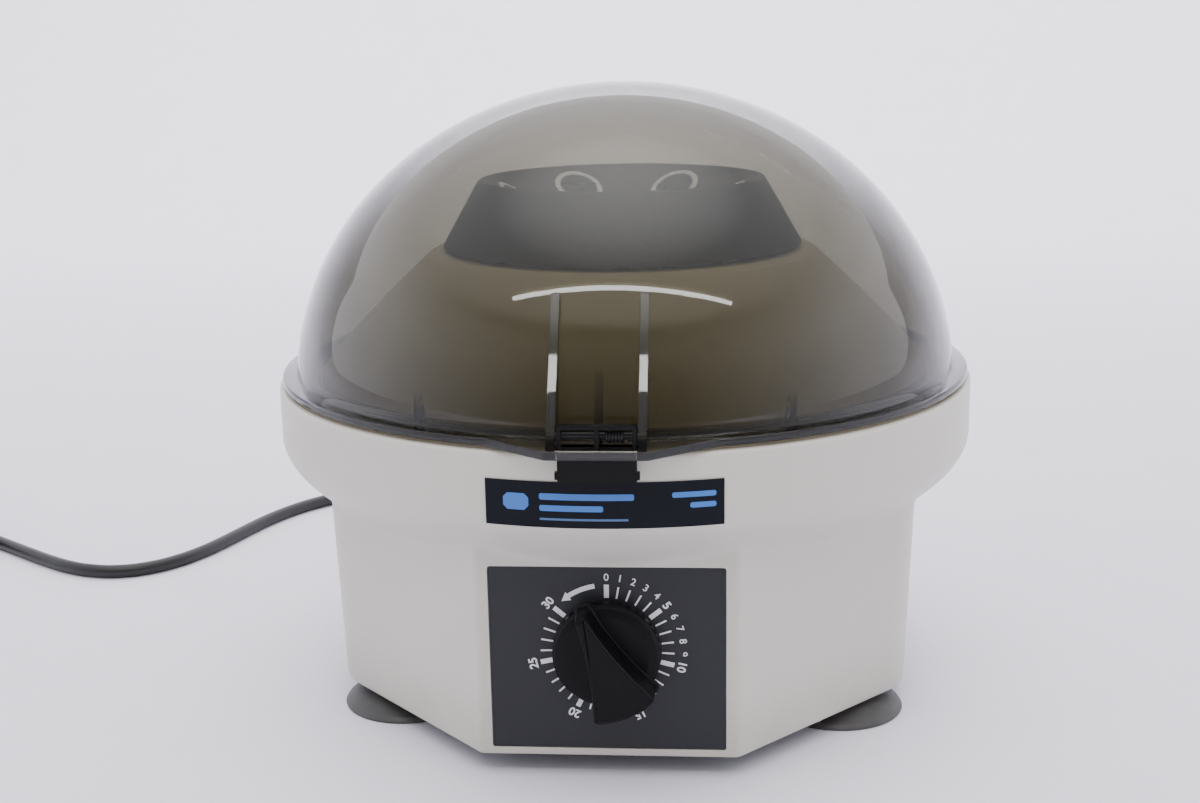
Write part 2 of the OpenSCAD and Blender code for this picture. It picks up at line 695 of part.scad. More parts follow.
// Round tube along a list of points
module sweep(p, r, sides) {
  n = len(p);
  pts = [for (i = [0:n - 1]) let (t = i == 0 ? [0, 1, 0] : tangent(p, i), u = cross(t, [0, 0, 1]) / norm(cross(t, [0, 0, 1])),
    v = cross(t, u)) each [for (k = [0:sides - 1]) p[i] + r * (u * cos(360 * k / sides) + v * sin(360 * k / sides))]];
  polyhedron(points = pts, faces = [
    [for (k = [0:sides - 1]) k],
    [for (k = [sides - 1:-1:0]) (n - 1) * sides + k],
    for (i = [0:n - 2], k = [0:sides - 1])
      [i * sides + k, (i + 1) * sides + k, (i + 1) * sides + (k + 1) % sides, i * sides + (k + 1) % sides]
  ], convexity = 8);
}

module cord() { color([0.08, 0.08, 0.09]) sweep(route, cord_r, 10); }

module cord_coil() {
  w = 2 * cord_r;
  color([0.08, 0.08, 0.09]) translate([coil_c[0], coil_c[1], 0]) rotate_extrude()
    translate([coil_r, 0]) polygon([[2 - w, 0], [w - 2, 0], [w, 2], [w, coil_h - 2], [w - 2, coil_h],
                                    [2 - w, coil_h], [-w, coil_h - 2], [-w, 2]]);
}

module cord_tail() { color([0.08, 0.08, 0.09]) sweep(tail, cord_r, 10); }

// Strap over the coil, open underneath
module cord_tie() {
  w = 2 * cord_r;
  color([0.15, 0.15, 0.16]) translate([coil_c[0] - 3, coil_c[1] + coil_r, 0]) difference() {
    translate([0, -w - 1.2, 0]) cube([6, 2 * w + 2.4, coil_h + 1.2]);
    translate([-1, -w - 0.3, -1]) cube([8, 2 * w + 0.6, coil_h + 1.1]);
  }
}

module plug_body() {
  color([0.09, 0.09, 0.1]) translate([tail_x, 105, 0]) union() {
    translate([0, 0, 8]) rotate([90, 0, 0]) cylinder(r1 = 4.6, r2 = 6.5, h = 14, $fn = 48);
    translate([0, 0, 0.5]) linear_extrude(height = 15)
      polygon([[-8, -12], [8, -12], [12.5, -20], [12.5, -42], [11, -44], [-11, -44], [-12.5, -42],
               [-12.5, -20]]);
  }
}

module plug_pins() {
  color([0.75, 0.75, 0.76]) translate([tail_x, 105 - 44, 0]) {
    for (x = [-6.35, 6.35]) translate([x - 0.75, -16, 7]) cube([1.5, 16, 6.3]);
    translate([0, 0, 4]) rotate([90, 0, 0]) cylinder(r = 2.4, h = 19, $fn = 32);
  }
}

housing();
base_plate();
base_screws();
foot_front_left();
foot_front_right();
foot_rear_left();
foot_rear_right();
foot_studs();
bowl();
bowl_seal();
bowl_screws();
rotor_guard();
panel_plate();
label_plate();
timer_body();
timer_bush();
timer_nut();
motor_can();
motor_field();
motor_top_cap();
motor_base_frame();
motor_plate();
motor_mounts();
bearing_top();
bearing_bottom();
brush_holders();
terminal_block();
cord_gland();
hinge_bracket();
hinge_pin();
hinge_screws();
latch_catch();
rotor_body();
rotor_hub();
rotor_nut();
shield_1();
shield_2();
shield_3();
shield_4();
shield_5();
shield_6();
shield_pads();
motor_shaft();
armature();
commutator();
fan();
lid_dome();
hinge_leaf();
leaf_screws();
latch_pin();
latch_lever();
latch_spring();
knob();
timer_shaft();
cord();
cord_coil();
cord_tail();
cord_tie();
plug_body();
plug_pins();
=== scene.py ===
"""Bench centrifuge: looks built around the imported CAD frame. Metres, same frame as the CAD."""
import bpy
import bmesh
import math
from mathutils import Matrix, Vector


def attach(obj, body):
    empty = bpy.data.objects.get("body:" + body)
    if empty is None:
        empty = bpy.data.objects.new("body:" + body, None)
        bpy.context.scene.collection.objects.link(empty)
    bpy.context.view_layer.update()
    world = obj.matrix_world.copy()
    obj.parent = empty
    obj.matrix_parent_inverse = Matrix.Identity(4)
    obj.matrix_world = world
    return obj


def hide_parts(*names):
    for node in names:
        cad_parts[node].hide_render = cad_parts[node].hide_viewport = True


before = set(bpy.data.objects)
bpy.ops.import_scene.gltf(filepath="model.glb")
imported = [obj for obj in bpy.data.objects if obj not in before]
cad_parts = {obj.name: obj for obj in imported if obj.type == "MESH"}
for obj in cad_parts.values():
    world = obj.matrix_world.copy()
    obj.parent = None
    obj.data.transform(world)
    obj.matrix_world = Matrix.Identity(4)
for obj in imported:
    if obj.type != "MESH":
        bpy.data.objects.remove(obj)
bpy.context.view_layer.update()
MM = 0.001
# socket numbers of a colour Mix node
MIX_FAC, MIX_A, MIX_B, MIX_OUT = 0, 6, 7, 2


# ------------------------------------------------------------------ helpers

def new_object(name, mesh, body=None, replaces=(), mat=None, smooth=True, sharp=35):
    o = bpy.data.objects.new(name, mesh)
    bpy.context.scene.collection.objects.link(o)
    if mat:
        o.data.materials.append(mat)
    if smooth and hasattr(mesh, "polygons"):
        for p in mesh.polygons:
            p.use_smooth = True
        if sharp:
            mesh.set_sharp_from_angle(angle=math.radians(sharp))
    if body:
        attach(o, body)
    if replaces:
        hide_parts(*replaces)
    return o


def mesh_of(name, verts, faces):
    """Mesh from points in millimetres."""
    m = bpy.data.meshes.new(name)
    m.from_pydata([(v[0] * MM, v[1] * MM, v[2] * MM) for v in verts], [], faces)
    m.validate()
    bm = bmesh.new()
    bm.from_mesh(m)
    bmesh.ops.recalc_face_normals(bm, faces=bm.faces)
    bm.to_mesh(m)
    bm.free()
    return m


def lathe(profile, n=128, closed=True):
    """Points and faces of a profile [(r, z)] turned about Z. A point with r = 0 is a pole."""
    verts, faces, rings = [], [], []
    for r, z in profile:
        if r < 1e-6:
            rings.append([len(verts)])
            verts.append((0, 0, z))
        else:
            rings.append(list(range(len(verts), len(verts) + n)))
            verts += [(r * math.cos(2 * math.pi * k / n), r * math.sin(2 * math.pi * k / n), z) for k in range(n)]
    pairs = list(zip(rings, rings[1:]))
    if closed and not (len(rings[0]) == 1 and len(rings[-1]) == 1):
        pairs.append((rings[-1], rings[0]))
    for a, b in pairs:
        if len(a) == 1 and len(b) == 1:
            continue
        for k in range(n):
            j = (k + 1) % n
            if len(a) == 1:
                faces.append((a[0], b[k], b[j]))
            elif len(b) == 1:
                faces.append((a[k], b[0], a[j]))
            else:
                faces.append((a[k], b[k], b[j], a[j]))
    return verts, faces


def round_profile(points, radius, steps=5):
    """Rounds each corner of a closed (r, z) outline, where there is room."""
    out, n = [], len(points)
    for i, p in enumerate(points):
        rad = radius[i] if isinstance(radius, (list, tuple)) else radius
        a, b = Vector(points[i - 1]), Vector(points[(i + 1) % n])
        p = Vector(p)
        if rad <= 0 or (a - p).length < 1e-6 or (b - p).length < 1e-6:
            out.append(tuple(p))
            continue
        da, db = (a - p).normalized(), (b - p).normalized()
        ang = da.angle(db)
        if ang > 3.0:
            out.append(tuple(p))
            continue
        cut = min(rad / math.tan(ang / 2), 0.45 * (a - p).length, 0.45 * (b - p).length)
        s, e = p + da * cut, p + db * cut
        for k in range(steps + 1):
            t = k / steps
            out.append(tuple((1 - t) ** 2 * s + 2 * t * (1 - t) * p + t ** 2 * e))
    return out


def place(verts, rot=None, at=(0, 0, 0)):
    rot = rot or Matrix.Identity(3)
    at = Vector(at)
    return [tuple(rot @ Vector(v) + at) for v in verts]


def prism(outline, y0, y1, axis="Y"):
    """Closed prism of a 2D outline, extruded along an axis from y0 to y1."""
    n = len(outline)

    def put(u, v, w):
        return {"Y": (u, w, v), "X": (w, u, v), "Z": (u, v, w)}[axis]
    verts = [put(u, v, y0) for u, v in outline] + [put(u, v, y1) for u, v in outline]
    faces = [tuple(range(n)), tuple(range(2 * n - 1, n - 1, -1))]
    faces += [(i, (i + 1) % n, n + (i + 1) % n, n + i) for i in range(n)]
    return verts, faces


def join(*parts):
    verts, faces = [], []
    for v, f in parts:
        faces += [tuple(i + len(verts) for i in q) for q in f]
        verts += v
    return verts, faces


def bevel(o, width, segments=3, angle=35):
    b = o.modifiers.new("edge", "BEVEL")
    b.width, b.segments, b.limit_method, b.angle_limit = width * MM, segments, "ANGLE", math.radians(angle)
    b.harden_normals = False
    return o


def apply_mods(o):
    dg = bpy.context.evaluated_depsgraph_get()
    dg.update()
    m = bpy.data.meshes.new_from_object(o.evaluated_get(dg))
    o.modifiers.clear()
    old = o.data
    o.data = m
    bpy.data.meshes.remove(old)
    return o


def cut(o, *tools):
    for t in tools:
        b = o.modifiers.new("cut", "BOOLEAN")
        b.operation, b.solver, b.object = "DIFFERENCE", "EXACT", t
        apply_mods(o)
        bpy.data.objects.remove(t, do_unlink=True)
    return o


def tool(name, data):
    return new_object(name, mesh_of(name, *data), smooth=False)


# ------------------------------------------------------------------ materials

def material(name, color, rough=0.5, metal=0.0, bump=0.0, scale=900.0, vary=0.05,
             rough_vary=0.08, spec=0.5, low_patch_mix=0.0, low_patch_color=None, streak=None):
    """Procedural surface: base colour with soft variation, roughness variation and fine bump."""
    m = bpy.data.materials.new(name)
    m.use_nodes = True
    nt = m.node_tree
    b = nt.nodes["Principled BSDF"]
    b.inputs["Metallic"].default_value = metal
    b.inputs["Specular IOR Level"].default_value = spec
    tc = nt.nodes.new("ShaderNodeTexCoord")
    mp = nt.nodes.new("ShaderNodeMapping")
    if streak:
        mp.inputs["Scale"].default_value = streak
    nt.links.new(tc.outputs["Object"], mp.inputs["Vector"])
    big = nt.nodes.new("ShaderNodeTexNoise")
    big.inputs["Scale"].default_value = 18.0
    big.inputs["Detail"].default_value = 4.0
    nt.links.new(mp.outputs["Vector"], big.inputs["Vector"])
    ramp = nt.nodes.new("ShaderNodeValToRGB")
    ramp.color_ramp.elements[0].position, ramp.color_ramp.elements[1].position = 0.3, 0.7
    lo = [max(c * (1 - vary), 0) for c in color[:3]] + [1]
    hi = [min(c * (1 + vary), 1) for c in color[:3]] + [1]
    ramp.color_ramp.elements[0].color, ramp.color_ramp.elements[1].color = lo, hi
    nt.links.new(big.outputs["Fac"], ramp.inputs["Fac"])
    col = ramp.outputs["Color"]
    if low_patch_mix:
        # colour blended in noise patches towards a second colour low on the object, below 35 mm in object space:
        # darker towards the bottom on the housing, lighter on the black feet
        sep = nt.nodes.new("ShaderNodeSeparateXYZ")
        nt.links.new(tc.outputs["Object"], sep.inputs["Vector"])
        band = nt.nodes.new("ShaderNodeMapRange")
        band.inputs["From Min"].default_value, band.inputs["From Max"].default_value = 0.035, 0.006
        nt.links.new(sep.outputs["Z"], band.inputs["Value"])
        spots = nt.nodes.new("ShaderNodeTexNoise")
        spots.inputs["Scale"].default_value, spots.inputs["Detail"].default_value = 60.0, 6.0
        nt.links.new(tc.outputs["Object"], spots.inputs["Vector"])
        mul = nt.nodes.new("ShaderNodeMath")
        mul.operation = "MULTIPLY"
        nt.links.new(band.outputs["Result"], mul.inputs[0])
        nt.links.new(spots.outputs["Fac"], mul.inputs[1])
        mul2 = nt.nodes.new("ShaderNodeMath")
        mul2.operation = "MULTIPLY"
        mul2.inputs[1].default_value = low_patch_mix
        nt.links.new(mul.outputs[0], mul2.inputs[0])
        mix = nt.nodes.new("ShaderNodeMix")
        mix.data_type = "RGBA"
        mix.inputs[MIX_B].default_value = list(low_patch_color or (0.16, 0.14, 0.12)) + [1]
        nt.links.new(mul2.outputs[0], mix.inputs[MIX_FAC])
        nt.links.new(col, mix.inputs[MIX_A])
        col = mix.outputs[MIX_OUT]
    nt.links.new(col, b.inputs["Base Color"])
    fine = nt.nodes.new("ShaderNodeTexNoise")
    fine.inputs["Scale"].default_value, fine.inputs["Detail"].default_value = scale, 3.0
    nt.links.new(mp.outputs["Vector"], fine.inputs["Vector"])
    rr = nt.nodes.new("ShaderNodeMapRange")
    rr.inputs["To Min"].default_value = max(rough - rough_vary, 0.02)
    rr.inputs["To Max"].default_value = min(rough + rough_vary, 1)
    nt.links.new(big.outputs["Fac"], rr.inputs["Value"])
    nt.links.new(rr.outputs["Result"], b.inputs["Roughness"])
    if bump:
        bp = nt.nodes.new("ShaderNodeBump")
        bp.inputs["Strength"].default_value = bump
        bp.inputs["Distance"].default_value = 0.0002
        nt.links.new(fine.outputs["Fac"], bp.inputs["Height"])
        nt.links.new(bp.outputs["Normal"], b.inputs["Normal"])
    return m


def clear_material(name, absorb, density, rough=0.02):
    """Smoked clear acrylic: tinted through its thickness, with faint wiping marks in its gloss."""
    m = bpy.data.materials.new(name)
    m.use_nodes = True
    nt = m.node_tree
    b = nt.nodes["Principled BSDF"]
    b.inputs["Transmission Weight"].default_value = 1.0
    b.inputs["IOR"].default_value = 1.49
    b.inputs["Base Color"].default_value = (1, 1, 1, 1)
    tc = nt.nodes.new("ShaderNodeTexCoord")
    n = nt.nodes.new("ShaderNodeTexNoise")
    n.inputs["Scale"].default_value, n.inputs["Detail"].default_value = 25.0, 5.0
    nt.links.new(tc.outputs["Object"], n.inputs["Vector"])
    r = nt.nodes.new("ShaderNodeMapRange")
    r.inputs["To Min"].default_value, r.inputs["To Max"].default_value = rough * 0.5, rough * 1.6
    nt.links.new(n.outputs["Fac"], r.inputs["Value"])
    nt.links.new(r.outputs["Result"], b.inputs["Roughness"])
    v = nt.nodes.new("ShaderNodeVolumeAbsorption")
    v.inputs["Color"].default_value = list(absorb) + [1]
    v.inputs["Density"].default_value = density
    nt.links.new(v.outputs["Volume"], nt.nodes["Material Output"].inputs["Volume"])
    return m


M = {
    "housing": material("housing_plastic", (0.575, 0.545, 0.488), 0.42, bump=0.22, scale=1500, vary=0.02,
                        low_patch_mix=0.5, low_patch_color=(0.2, 0.185, 0.165)),
    "base": material("base_plastic", (0.05, 0.05, 0.052), 0.6, bump=0.2),
    "screw": material("fastener_steel", (0.5, 0.5, 0.5), 0.35, 1.0, bump=0.1, scale=600),
    "foot": material("foot_rubber", (0.018, 0.018, 0.0195), 0.55, bump=0.15, scale=700, vary=0.15, low_patch_mix=0.8,
                     low_patch_color=(0.12, 0.115, 0.11)),
    "bowl": material("bowl_enamel", (0.5, 0.44, 0.37), 0.38, bump=0.08, scale=500, vary=0.06),
    "guard": material("guard_enamel", (0.76, 0.69, 0.49), 0.4, bump=0.0, scale=500, vary=0.04),
    "seal": material("seal_rubber", (0.02, 0.02, 0.021), 0.7, bump=0.2),
    "panel": material("panel_dark", (0.019, 0.0195, 0.023), 0.5, bump=0.12, scale=1800, vary=0.08, spec=0.3),
    "label": material("label_film", (0.004, 0.005, 0.009), 0.35, bump=0.03, vary=0.06, spec=0.12),
    "blue": material("label_blue", (0.03, 0.16, 0.52), 0.4, vary=0.05),
    "blue_dim": material("label_blue_dim", (0.05, 0.12, 0.28), 0.4, vary=0.05),
    "print": material("dial_print", (0.72, 0.72, 0.74), 0.5, vary=0.04),
    "timer": material("timer_plastic", (0.6, 0.57, 0.5), 0.5, bump=0.1),
    "brass": material("brass_parts", (0.6, 0.45, 0.2), 0.3, 1.0, bump=0.05),
    "motor": material("motor_steel", (0.25, 0.26, 0.28), 0.4, 0.4, bump=0.1),
    "copper": material("winding_copper", (0.4, 0.18, 0.08), 0.35, 0.8, bump=0.3, scale=1200),
    "alu": material("cast_aluminium", (0.45, 0.46, 0.47), 0.45, 1.0, bump=0.25, scale=1100),
    "steel": material("bright_steel", (0.62, 0.62, 0.63), 0.22, 1.0, bump=0.05, streak=(1, 1, 12)),
    "cord": material("cord_rubber", (0.005, 0.005, 0.0056), 0.42, bump=0.12, scale=900, vary=0.15),
    "black": material("black_plastic", (0.016, 0.016, 0.017), 0.42, bump=0.15, scale=1400, vary=0.12),
    "rotor": material("rotor_grey", (0.007, 0.0066, 0.0066), 0.5, bump=0.0, scale=900, vary=0.1, spec=0.35),
    "chrome": material("chrome_parts", (0.75, 0.75, 0.76), 0.12, 1.0, vary=0.03, rough_vary=0.05),
    "shield": material("shield_metal", (0.72, 0.72, 0.73), 0.28, 1.0, bump=0.05, streak=(1, 1, 8)),
    "dark_steel": material("dark_steel", (0.03, 0.03, 0.032), 0.4, 0.6, bump=0.05),
    "clear": clear_material("smoked_clear", (0.40, 0.375, 0.28), 490.0),
    "latch": material("latch_plastic", (0.004, 0.004, 0.0045), 0.4, bump=0.08, scale=1200, vary=0.1, spec=0.14),
    "knob": material("knob_plastic", (0.0035, 0.0034, 0.0042), 0.36, bump=0.12, scale=1500, vary=0.1, spec=0.12),
}

# ------------------------------------------------------------------ camera

F_PX, SIZE = 1600.0, (1200, 803)
YAW, PITCH, ROLL = -0.07946, 0.23612, -0.01821
CAM_AT = Vector((44.231, -692.393, 287.702)) * MM


def camera_axes(yaw, pitch, roll):
    fwd = Vector((math.sin(yaw) * math.cos(pitch), math.cos(yaw) * math.cos(pitch), -math.sin(pitch)))
    right = Vector((math.cos(yaw), -math.sin(yaw), 0))
    up = right.cross(fwd)
    c, s = math.cos(roll), math.sin(roll)
    return c * right + s * up, -s * right + c * up, fwd


cam = bpy.data.objects.new("camera", bpy.data.cameras.new("camera"))
bpy.context.scene.collection.objects.link(cam)
cam.data.sensor_width, cam.data.lens = 36.0, F_PX / SIZE[0] * 36.0
cam.data.clip_start, cam.data.clip_end = 0.01, 50.0
right, up, fwd = camera_axes(YAW, PITCH, ROLL)
cam.matrix_world = Matrix(((right.x, up.x, -fwd.x, CAM_AT.x), (right.y, up.y, -fwd.y, CAM_AT.y),
                           (right.z, up.z, -fwd.z, CAM_AT.z), (0, 0, 0, 1)))
bpy.context.scene.camera = cam

# ------------------------------------------------------------------ mains cord

ROUTE = [
    (-40, 161, 40), (-40, 172, 39.4), (-40.4, 184, 37), (-41.5, 196, 32.4), (-44, 207, 26),
    (-48, 217, 19), (-54, 226, 12.5), (-62, 234.5, 7.5), (-72, 242, 4.6), (-84, 248, 3.6),
    (-98, 252.5, 3.5), (-113, 255, 3.5), (-129, 255.5, 3.5), (-145, 254, 3.5), (-161, 250, 3.5),
    (-176, 243.5, 3.5), (-190, 234.5, 3.5), (-202, 223, 3.5), (-212, 209.5, 3.5), (-220, 194.5, 3.5),
    (-226.5, 178.5, 3.5), (-232, 162, 3.5), (-237.5, 145.5, 3.5), (-244, 129.5, 3.5),
    (-252.5, 115, 3.5), (-264, 103.5, 3.5), (-278, 97.5, 3.5), (-293, 98, 3.5), (-308, 103.5, 3.5),
    (-322, 112, 3.5), (-335.5, 121.5, 3.5), (-349, 131.5, 3.5), (-362.5, 141.5, 3.5),
    (-376, 151.5, 3.5), (-389, 161.5, 3.5), (-400, 172, 3.5)]
COIL_C, COIL_R, CORD_R = (-432, 149), 36.0, 3.5
TAIL_X = COIL_C[0] - COIL_R - CORD_R
TAIL = [(TAIL_X, 149, 17.5), (TAIL_X, 138, 17), (TAIL_X, 127, 13.6), (TAIL_X, 116, 9.4), (TAIL_X, 108, 8),
        (TAIL_X, 105, 8)]


def smooth(t):
    t = min(max(t, 0), 1)
    return t * t * (3 - 2 * t)


def coil_points():
    lanes = [(39.5, 3.5), (32.5, 3.5), (32.5, 10.5), (39.5, 10.5), (32.5, 17.5), (39.5, 17.5)]
    start = math.atan2(172 - COIL_C[1], -400 - COIL_C[0])
    turns = 5 + (math.pi - start) / (2 * math.pi)
    out, n = [], int(turns * 20)
    for i in range(1, n):
        u = turns * i / n
        k = int(u)
        a, b = lanes[k], lanes[min(k + 1, 5)]
        t = smooth((u - k - 0.8) / 0.2)
        r, z = a[0] + (b[0] - a[0]) * t, a[1] + (b[1] - a[1]) * t
        ang = start + 2 * math.pi * u
        out.append((COIL_C[0] + r * math.cos(ang), COIL_C[1] + r * math.sin(ang), z))
    return out


def curve_piece(name, points, radius, mat, resolution=6):
    c = bpy.data.curves.new(name, "CURVE")
    c.dimensions, c.resolution_u, c.bevel_depth, c.bevel_resolution = "3D", resolution, radius * MM, 5
    c.use_fill_caps = True
    s = c.splines.new("BEZIER")
    s.bezier_points.add(len(points) - 1)
    for bp, p in zip(s.bezier_points, points):
        bp.co = Vector(p) * MM
        bp.handle_left_type = bp.handle_right_type = "AUTO"
    o = bpy.data.objects.new(name, c)
    bpy.context.scene.collection.objects.link(o)
    c.materials.append(mat)
    return o


cord = curve_piece("mains_cord", ROUTE + coil_points() + TAIL, CORD_R, M["cord"])
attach(cord, "base")
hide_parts("cord", "cord_coil", "cord_tail")

# moulded plug: sleeve with ribs, then a body with finger flats
sleeve = lathe(round_profile([(0, 0), (4.4, 0), (4.7, 1.4), (4.2, 2.0), (4.9, 4.2), (4.5, 4.8), (5.3, 7.2),
                              (4.9, 7.8), (5.8, 10.4), (5.4, 11), (6.3, 14), (0, 14)], 0.25, 2), 48)
sleeve = (place(sleeve[0], Matrix.Rotation(math.radians(90), 3, "X"), (TAIL_X, 105, 8)), sleeve[1])
plug_outline = [(x + TAIL_X, y + 105) for x, y in round_profile(
    [(-8, -12), (8, -12), (12.3, -20), (11.2, -28), (12.3, -36), (12.3, -41.8), (11, -44), (-11, -44),
     (-12.3, -41.8), (-12.3, -36), (-11.2, -28), (-12.3, -20)], 2.5, 4)]
body_data = prism(plug_outline, 0.6, 15.4, "Z")
plug = new_object("plug_moulding", mesh_of("plug_moulding", *join(sleeve, body_data)), "base", ["plug_body"],
                  M["cord"])
bevel(plug, 1.6, 4)

# ------------------------------------------------------------------ housing

SLOPE, RISE, COLLAR_LOW, COLLAR_R, FRONT = 0.82, 9.5, 100.0, 150.0, 123.5


def body_outline(z, inset=0.0):
    """Rounded eight-sided outline of the body at height z, as dense points."""
    t = (z - 9) / 90.0
    a = 121.5 + 3.0 * t
    pts = []
    for i in range(8):
        ang = math.radians(22.5 + 45 * i)
        front = i in (5, 6)
        rc = max((4.0 if front else 30.0) - inset, 0.5)
        if front:
            vx, vy = (50 - inset * 0.42) * (-1 if i == 5 else 1), -(FRONT - inset)
        else:
            vx, vy = (a - inset) / math.cos(math.radians(22.5)) * math.cos(ang), \
                (a - inset) / math.cos(math.radians(22.5)) * math.sin(ang)
        cx = vx - rc / math.cos(math.radians(22.5)) * math.cos(ang)
        cy = vy - rc / math.cos(math.radians(22.5)) * math.sin(ang)
        for k in range(13):
            q = ang + math.radians(-22.5 + 45 * k / 12)
            pts.append((cx + rc * math.cos(q), cy + rc * math.sin(q)))
    return pts


def radial(points, phis):
    """Distance from the axis to a closed outline along each direction."""
    out, n = [], len(points)
    for phi in phis:
        d = (math.cos(phi), math.sin(phi))
        best = 0.0
        for i in range(n):
            (x0, y0), (x1, y1) = points[i], points[(i + 1) % n]
            ex, ey = x1 - x0, y1 - y0
            det = d[0] * -ey + d[1] * ex
            if abs(det) < 1e-9:
                continue
            t = (x0 * -ey + y0 * ex) / det
            s = (d[0] * y0 - d[1] * x0) / det
            if t > 0 and -1e-6 <= s <= 1 + 1e-6:
                best = max(best, t)
        out.append(best)
    return out


def soft_max(a, b, k):
    h = max(k - abs(a - b), 0) / k
    return max(a, b) + h * h * k * 0.25


def build_housing():
    phis = []
    for k in range(420):
        phis.append(2 * math.pi * k / 420)
    # extra columns round the two crisp front corners
    for s in (-1, 1):
        c = math.atan2(-FRONT, 50 * s) % (2 * math.pi)
        phis += [c + math.radians(0.12 * j) for j in range(-12, 13)]
    phis = sorted(p % (2 * math.pi) for p in phis)
    phis = [p for i, p in enumerate(phis) if i == 0 or p - phis[i - 1] > 1e-4]
    zs = [9.0, 9.15, 9.5, 10.2] + [12 + 4.0 * i for i in range(16)] + [73 + 1.1 * i for i in range(40)]
    zs = [z for z in zs if z < 117]
    zs += [120, 126, 131, 134, 135.6]
    n = len(phis)
    verts, rows = [], []
    low, top = radial(body_outline(9), phis), radial(body_outline(99), phis)

    def row(rz):
        rows.append(range(len(verts), len(verts) + n))
        verts.extend((r * math.cos(p), r * math.sin(p), z) for p, (r, z) in zip(phis, rz))
    # inner return at the bottom, then the outside, then the collar's rolled top edge and inner wall
    row([(low[i] - 3.4, 14.0) for i in range(n)])
    row([(low[i] - 3.4, 9.6) for i in range(n)])
    row([(low[i] - 2.9, 9.0) for i in range(n)])
    for z in zs:
        t = (z - 9) / 90.0
        edge = 0.0
        if z < 10.2:
            edge = 1.2 - math.sqrt(max(1.44 - (10.2 - z) ** 2, 0))
        line = []
        for i, p in enumerate(phis):
            rb = low[i] + (top[i] - low[i]) * min(t, 1.05) - edge
            away = smooth((math.degrees(abs((p - 1.5 * math.pi + math.pi) % (2 * math.pi) - math.pi)) - 18) / 30)
            zc = COLLAR_LOW - RISE * math.sin(p) - 0.5 + 1.5 * away
            rc = 149.5 - (zc - z) / SLOPE
            # rounded shoulder where the slope turns up into the collar wall
            k = 5.0 + 9.0 * away
            h = max(k - abs(rc - COLLAR_R), 0) / k
            rc = min(rc, COLLAR_R) - h * h * k * 0.25
            line.append((min(soft_max(rb, rc, 3.0), COLLAR_R - 0.02), z))
        row(line)
    for a in (15, 40, 65, 90):
        q = math.radians(a)
        row([(COLLAR_R - 0.02 - 1.4 + 1.4 * math.cos(q), 135.6 + 1.4 * math.sin(q))] * n)
    row([(147.2, 137.0)] * n)
    row([(146.6, 136.5)] * n)
    row([(146.6, 130.0)] * n)
    faces = []
    for a, b in zip(rows, rows[1:]):
        for k in range(n):
            j = (k + 1) % n
            faces.append((a[k], a[j], b[j], b[k]))
    m = mesh_of("housing_shell", verts, faces)
    o = new_object("housing_shell", m, smooth=False)
    sol = o.modifiers.new("t", "SOLIDIFY")
    sol.thickness, sol.offset = 0.8 * MM, -1
    apply_mods(o)
    # panel recess with small corner radii
    x, z0, z1 = 45.3, 12.2, 86.3
    outline = round_profile([(-x, z0), (x, z0), (x, z1), (-x, z1)], 1.2, 4)
    cut(o, tool("c1", prism(outline, -FRONT - 4, -FRONT + 3.0)))
    return o


housing = build_housing()
for p in housing.data.polygons:
    p.use_smooth = True
housing.data.set_sharp_from_angle(angle=math.radians(28))
housing.data.materials.clear()
housing.data.materials.append(M["housing"])
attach(housing, "base")
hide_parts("housing")

# floor of the panel recess, which the panel sits on
x, z0, z1 = 45.6, 11.9, 86.6
new_object("panel_tray", mesh_of("panel_tray", *prism([(-x, z0), (x, z0), (x, z1), (-x, z1)], -122.0, -121.0)),
           "base", mat=M["housing"], smooth=False)

# ------------------------------------------------------------------ lid

DOME_R, DOME_H, DOME_T, CROWN_T, EZ = 142.7, 127.2, 4.0, 2.2, 133.6
LID_Z, FLANGE_T, FLANGE_R = 138.3, 3.0, 148.5
FZ = LID_Z + FLANGE_T


def dome_at(z, inset=0.0):
    return (DOME_R - inset) * math.sqrt(max(1 - ((z - EZ) / (DOME_H - inset)) ** 2, 0))


def build_dome():
    n = 56
    t0 = math.asin((FZ + 0.8 - EZ) / DOME_H)
    ti = math.asin((FZ + 0.3 - EZ) / (DOME_H - CROWN_T))
    prof = [(133.4, LID_Z), (FLANGE_R - 0.9, LID_Z)]
    prof += [(FLANGE_R - 0.9 + 0.9 * math.sin(math.radians(a)), LID_Z + 0.9 - 0.9 * math.cos(math.radians(a)))
             for a in (20, 45, 70, 90)]
    prof += [(FLANGE_R - 0.9 + 0.9 * math.cos(math.radians(a)), FZ - 0.9 + 0.9 * math.sin(math.radians(a)))
             for a in (0, 20, 45, 70, 90)]
    prof += [(dome_at(FZ) + 1.2, FZ), (dome_at(FZ) + 0.35, FZ + 0.15)]
    outer = [t0 + (math.pi / 2 - t0) * i / n for i in range(n)]
    prof += [(DOME_R * math.cos(t), EZ + DOME_H * math.sin(t)) for t in outer] + [(0, EZ + DOME_H)]
    inner = [(0, EZ + DOME_H - CROWN_T)]
    for i in range(1, n + 1):
        t = math.pi / 2 - (math.pi / 2 - ti) * i / n
        inner.append(((DOME_R - DOME_T) * math.cos(t), EZ + (DOME_H - CROWN_T) * math.sin(t)))
    prof += inner + [(inner[-1][0] - 0.8, FZ), (133.9, FZ), (133.4, FZ - 0.5)]
    # the profile has two poles; turn it in two shells that share the rim
    return prof


